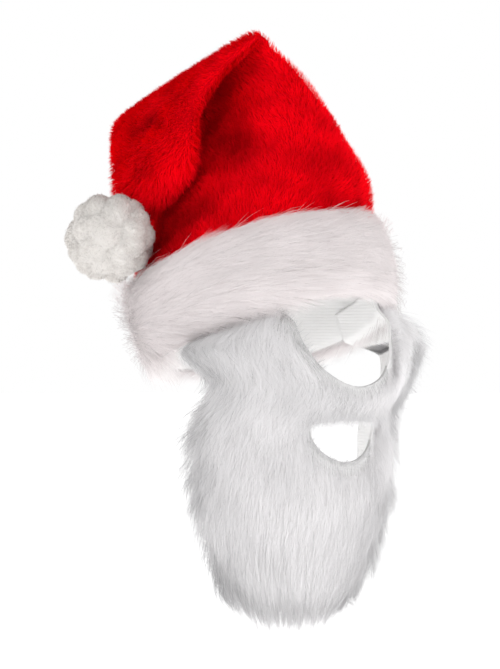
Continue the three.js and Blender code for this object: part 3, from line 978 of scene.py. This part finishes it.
    def tone(self):
        """Painted shade: loose and standing strands are darker, and so are those by the openings, along the
        edges, past the cloth's end, over the lip, on the outer left cheek, at the moustache's right end and
        low on the left side.
        """
        usual = 0.95
        x, z, cheek = self.root[:, 0], self.z, self.outer_cheek
        by_eyes = 0.2 * (1 - smooth(self.from_eyes, 0, 0.2)) * ~cheek
        by_mouth = 0.25 * (1 - smooth(self.from_mouth, 0, 0.45)) * ~self.over_mouth
        by_lip = self.over_mouth * (1 - smooth(z - self.lip, 4, 24))
        past_cloth = smooth(beard_bottom(self.share) + 6 - (z - self.length), 0, 14)
        low_left = smooth(x, 5, 35) * smooth(-z, 90, 120)
        shade = sum([
            np.where(cheek, 0.2, 0.5) * self.wisp,
            0.4 * self.rim * ~cheek,
            0.5 * np.maximum(by_eyes, by_mouth),
            (0.2 + 0.03 * self.stray) * self.edge,
            0.2 * past_cloth,
            0.03 * self.stand * smooth(-z, 20, 60),
            0.3 * cheek * smooth(self.from_eyes, 0.25, 0.6),
            0.25 * by_lip,
            0.15 * patch(self.root, **FUR_SHADE),
            0.12 * low_left,
        ])
        tone = usual + 0.03 * waves(self.root, 40, 22) + rng.normal(0, 0.02, self.count)
        return tone - np.minimum(shade, usual)


def make_beard_fur():
    fur = BeardFur()
    paths, facing, tone = fur.hang(), fur.facing(), fur.tone()
    width = rng.uniform(0.2, 0.32, fur.count)
    from_top = np.argsort(-fur.z)
    names, twist, rounded = ("beard_fur_upper", "beard_fur_lower"), 0.15, 0.1
    looks = (beard_white, "white_fur", twist, rounded)
    return strands_in_two(names, from_top, paths, facing, width, tone, *looks)


# Pompom

def tuft_hearts():
    """Directions from the ball's middle to the middles of its tufts, spread nearly evenly."""
    count, uneven, seed = 40, 0.1, 37
    golden = np.pi * (3 - np.sqrt(5)) * np.arange(count)
    height = 1 - (2 * np.arange(count) + 1) / count
    ring = np.sqrt(1 - height**2)
    heart = np.stack([ring * np.cos(golden), ring * np.sin(golden), height], -1)
    return unit(heart + uneven * np.random.default_rng(seed).normal(size=heart.shape))


def wool_reach(out):
    """How far the wool stands out along a direction: a soft hump over each tuft."""
    crest, fall = 1.05, 1.1
    off = np.linalg.norm(out[..., None, :] - tuft_hearts(), axis=-1).min(-1)
    return POMPOM_RADIUS * (crest - fall * off**2)


def make_pompom():
    """The pompom's padded core, just under the wool."""
    rows, columns, pole, under = 48, 80, 0.02, 0.94
    polar = np.linspace(pole, np.pi - pole, rows)[:, None] + np.zeros(columns)
    angle = np.linspace(0, 2 * np.pi, columns, endpoint=False) + np.zeros((rows, 1))
    out = np.stack([np.sin(polar) * np.cos(angle), np.sin(polar) * np.sin(angle), np.cos(polar)], -1)
    points = (worn(POMPOM_PLACE) + out * (under * wool_reach(out))[..., None]).reshape(-1, 3)
    faces = grid_faces(rows, columns, True, flip=True)
    faces.append(tuple(range(columns)))
    faces.append(tuple(range((rows - 1) * columns, rows * columns))[::-1])
    core = mesh_piece("pompom_core", points, faces, [wool_ground])
    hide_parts("pompom")
    return core


def make_wool():
    """Soft wool that lies in all directions over the tufts, with a little fuzz standing off."""
    count, under, usual_tone, twist = 27000, 0.93, 0.97, 0.15
    out = unit(rng.normal(size=(count, 3)))
    sideways = unit(np.cross(out, rng.normal(size=(count, 3))))
    step = rng.uniform(0.05, 0.1, count)[:, None]
    half_way = unit(out + sideways * step)
    tip = unit(out + sideways * step * rng.uniform(1.6, 2.2, count)[:, None])
    fuzz = np.where(rng.random(count) < 0.12, rng.uniform(0.3, 2.2, count), 0)
    rise = np.stack([
        under * wool_reach(out),
        wool_reach(half_way) - rng.uniform(0, 1, count),
        wool_reach(tip) - rng.uniform(0, 1.2, count) + fuzz,
    ], 1)
    paths = worn(POMPOM_PLACE) + np.stack([out, half_way, tip], 1) * rise[..., None]
    # Painted shade: the fuzz that stands off is darker.
    tone = usual_tone + 0.02 * waves(out, 0.8, 33) + rng.normal(0, 0.02, count) - 0.4 * (fuzz > 0)
    width = rng.uniform(0.45, 0.75, count)
    return strands("pompom_wool", paths, half_way, width, tone, white_wool, "white_wool", twist)


# Studio, in metres. The camera stands in front, on the wearer's right.

VIEW_RIGHT = np.array([0.743, -0.669, 0])
VIEW_FRONT = np.array([-0.669, -0.743, 0])
UP = np.array([0, 0, 1])
CAMERA = {"lens": 165.6, "sensor": 36, "distance": 2.4, "right": -0.0148, "up": 0.0027}
# Lamps: name, power, size, and their places to the front, to the right and up.
LAMPS = [
    ("key", 15, 1.4, 1.8, -0.9, 1.3),
    ("side", 8, 1.0, 0.5, -1.9, 0.9),
    ("fill", 15, 1.6, 0.9, 2.0, 0.4),
    ("front", 8, 1.4, 2.2, 0.6, 0.1),
    ("back", 11, 1.4, -1.1, 1.7, 0.2),
]
# The surroundings look white and light the object less than that.
SKY = {"seen": 1, "lights": 0.44}
FLOOR = {"radius": 30, "z": -0.62, "sides": 64, "paint": (0.92, 0.92, 0.92, 1), "glow": 0.78}


def aimed(made, place, way):
    """Puts a camera or a lamp at a place and turns it along a way."""
    made.location = place
    made.rotation_mode = "QUATERNION"
    made.rotation_quaternion = Vector(way).to_track_quat("-Z", "Y")
    return made


def make_camera():
    data = bpy.data.cameras.new("camera")
    data.sensor_width = CAMERA["sensor"]
    data.lens = CAMERA["lens"]
    look = VIEW_RIGHT * CAMERA["right"] + UP * CAMERA["up"]
    return aimed(add("camera", data), look + CAMERA["distance"] * VIEW_FRONT, -VIEW_FRONT)


def make_sky():
    world = bpy.data.worlds.new("studio")
    world.use_nodes = True
    nodes, links = world.node_tree.nodes, world.node_tree.links
    sky = nodes["Background"]
    sky.inputs["Color"].default_value = (1, 1, 1, 1)
    seen = node(nodes, "ShaderNodeLightPath")
    strength = node(nodes, "ShaderNodeMapRange", {"To Min": SKY["lights"], "To Max": SKY["seen"]})
    links.new(seen.outputs["Is Camera Ray"], strength.inputs["Value"])
    links.new(strength.outputs["Result"], sky.inputs["Strength"])
    return world


def make_floor():
    angle = np.linspace(0, 2 * np.pi, FLOOR["sides"], endpoint=False)
    ring = [FLOOR["radius"] * np.cos(angle), FLOOR["radius"] * np.sin(angle), FLOOR["z"] + 0 * angle]
    mesh = bpy.data.meshes.new("floor")
    mesh.from_pydata(np.stack(ring, -1).tolist(), [], [tuple(range(FLOOR["sides"]))])
    material, _, _, shader = new_material("floor_paint", 0.9)
    shader.inputs["Base Color"].default_value = FLOOR["paint"]
    shader.inputs["Emission Color"].default_value = (1, 1, 1, 1)
    shader.inputs["Emission Strength"].default_value = FLOOR["glow"]
    mesh.materials.append(material)
    floor = add("floor", mesh)


def make_studio():
    scene = bpy.context.scene
    scene.view_settings.view_transform = "Standard"
    scene.camera = make_camera()
    scene.world = make_sky()
    for name, power, size, front, right, up in LAMPS:
        light = bpy.data.lights.new(name, "AREA")
        light.energy = power
        light.size = size
        place = VIEW_FRONT * front + VIEW_RIGHT * right + UP * up
        aimed(add(name, light), place, -place)
    make_floor()


make_studio()
crown = make_crown()
pile = make_pile()
band = make_brim()
brim_fur = make_brim_fur()
backing = make_beard()
beard_fur = make_beard_fur()
core = make_pompom()
make_wool()
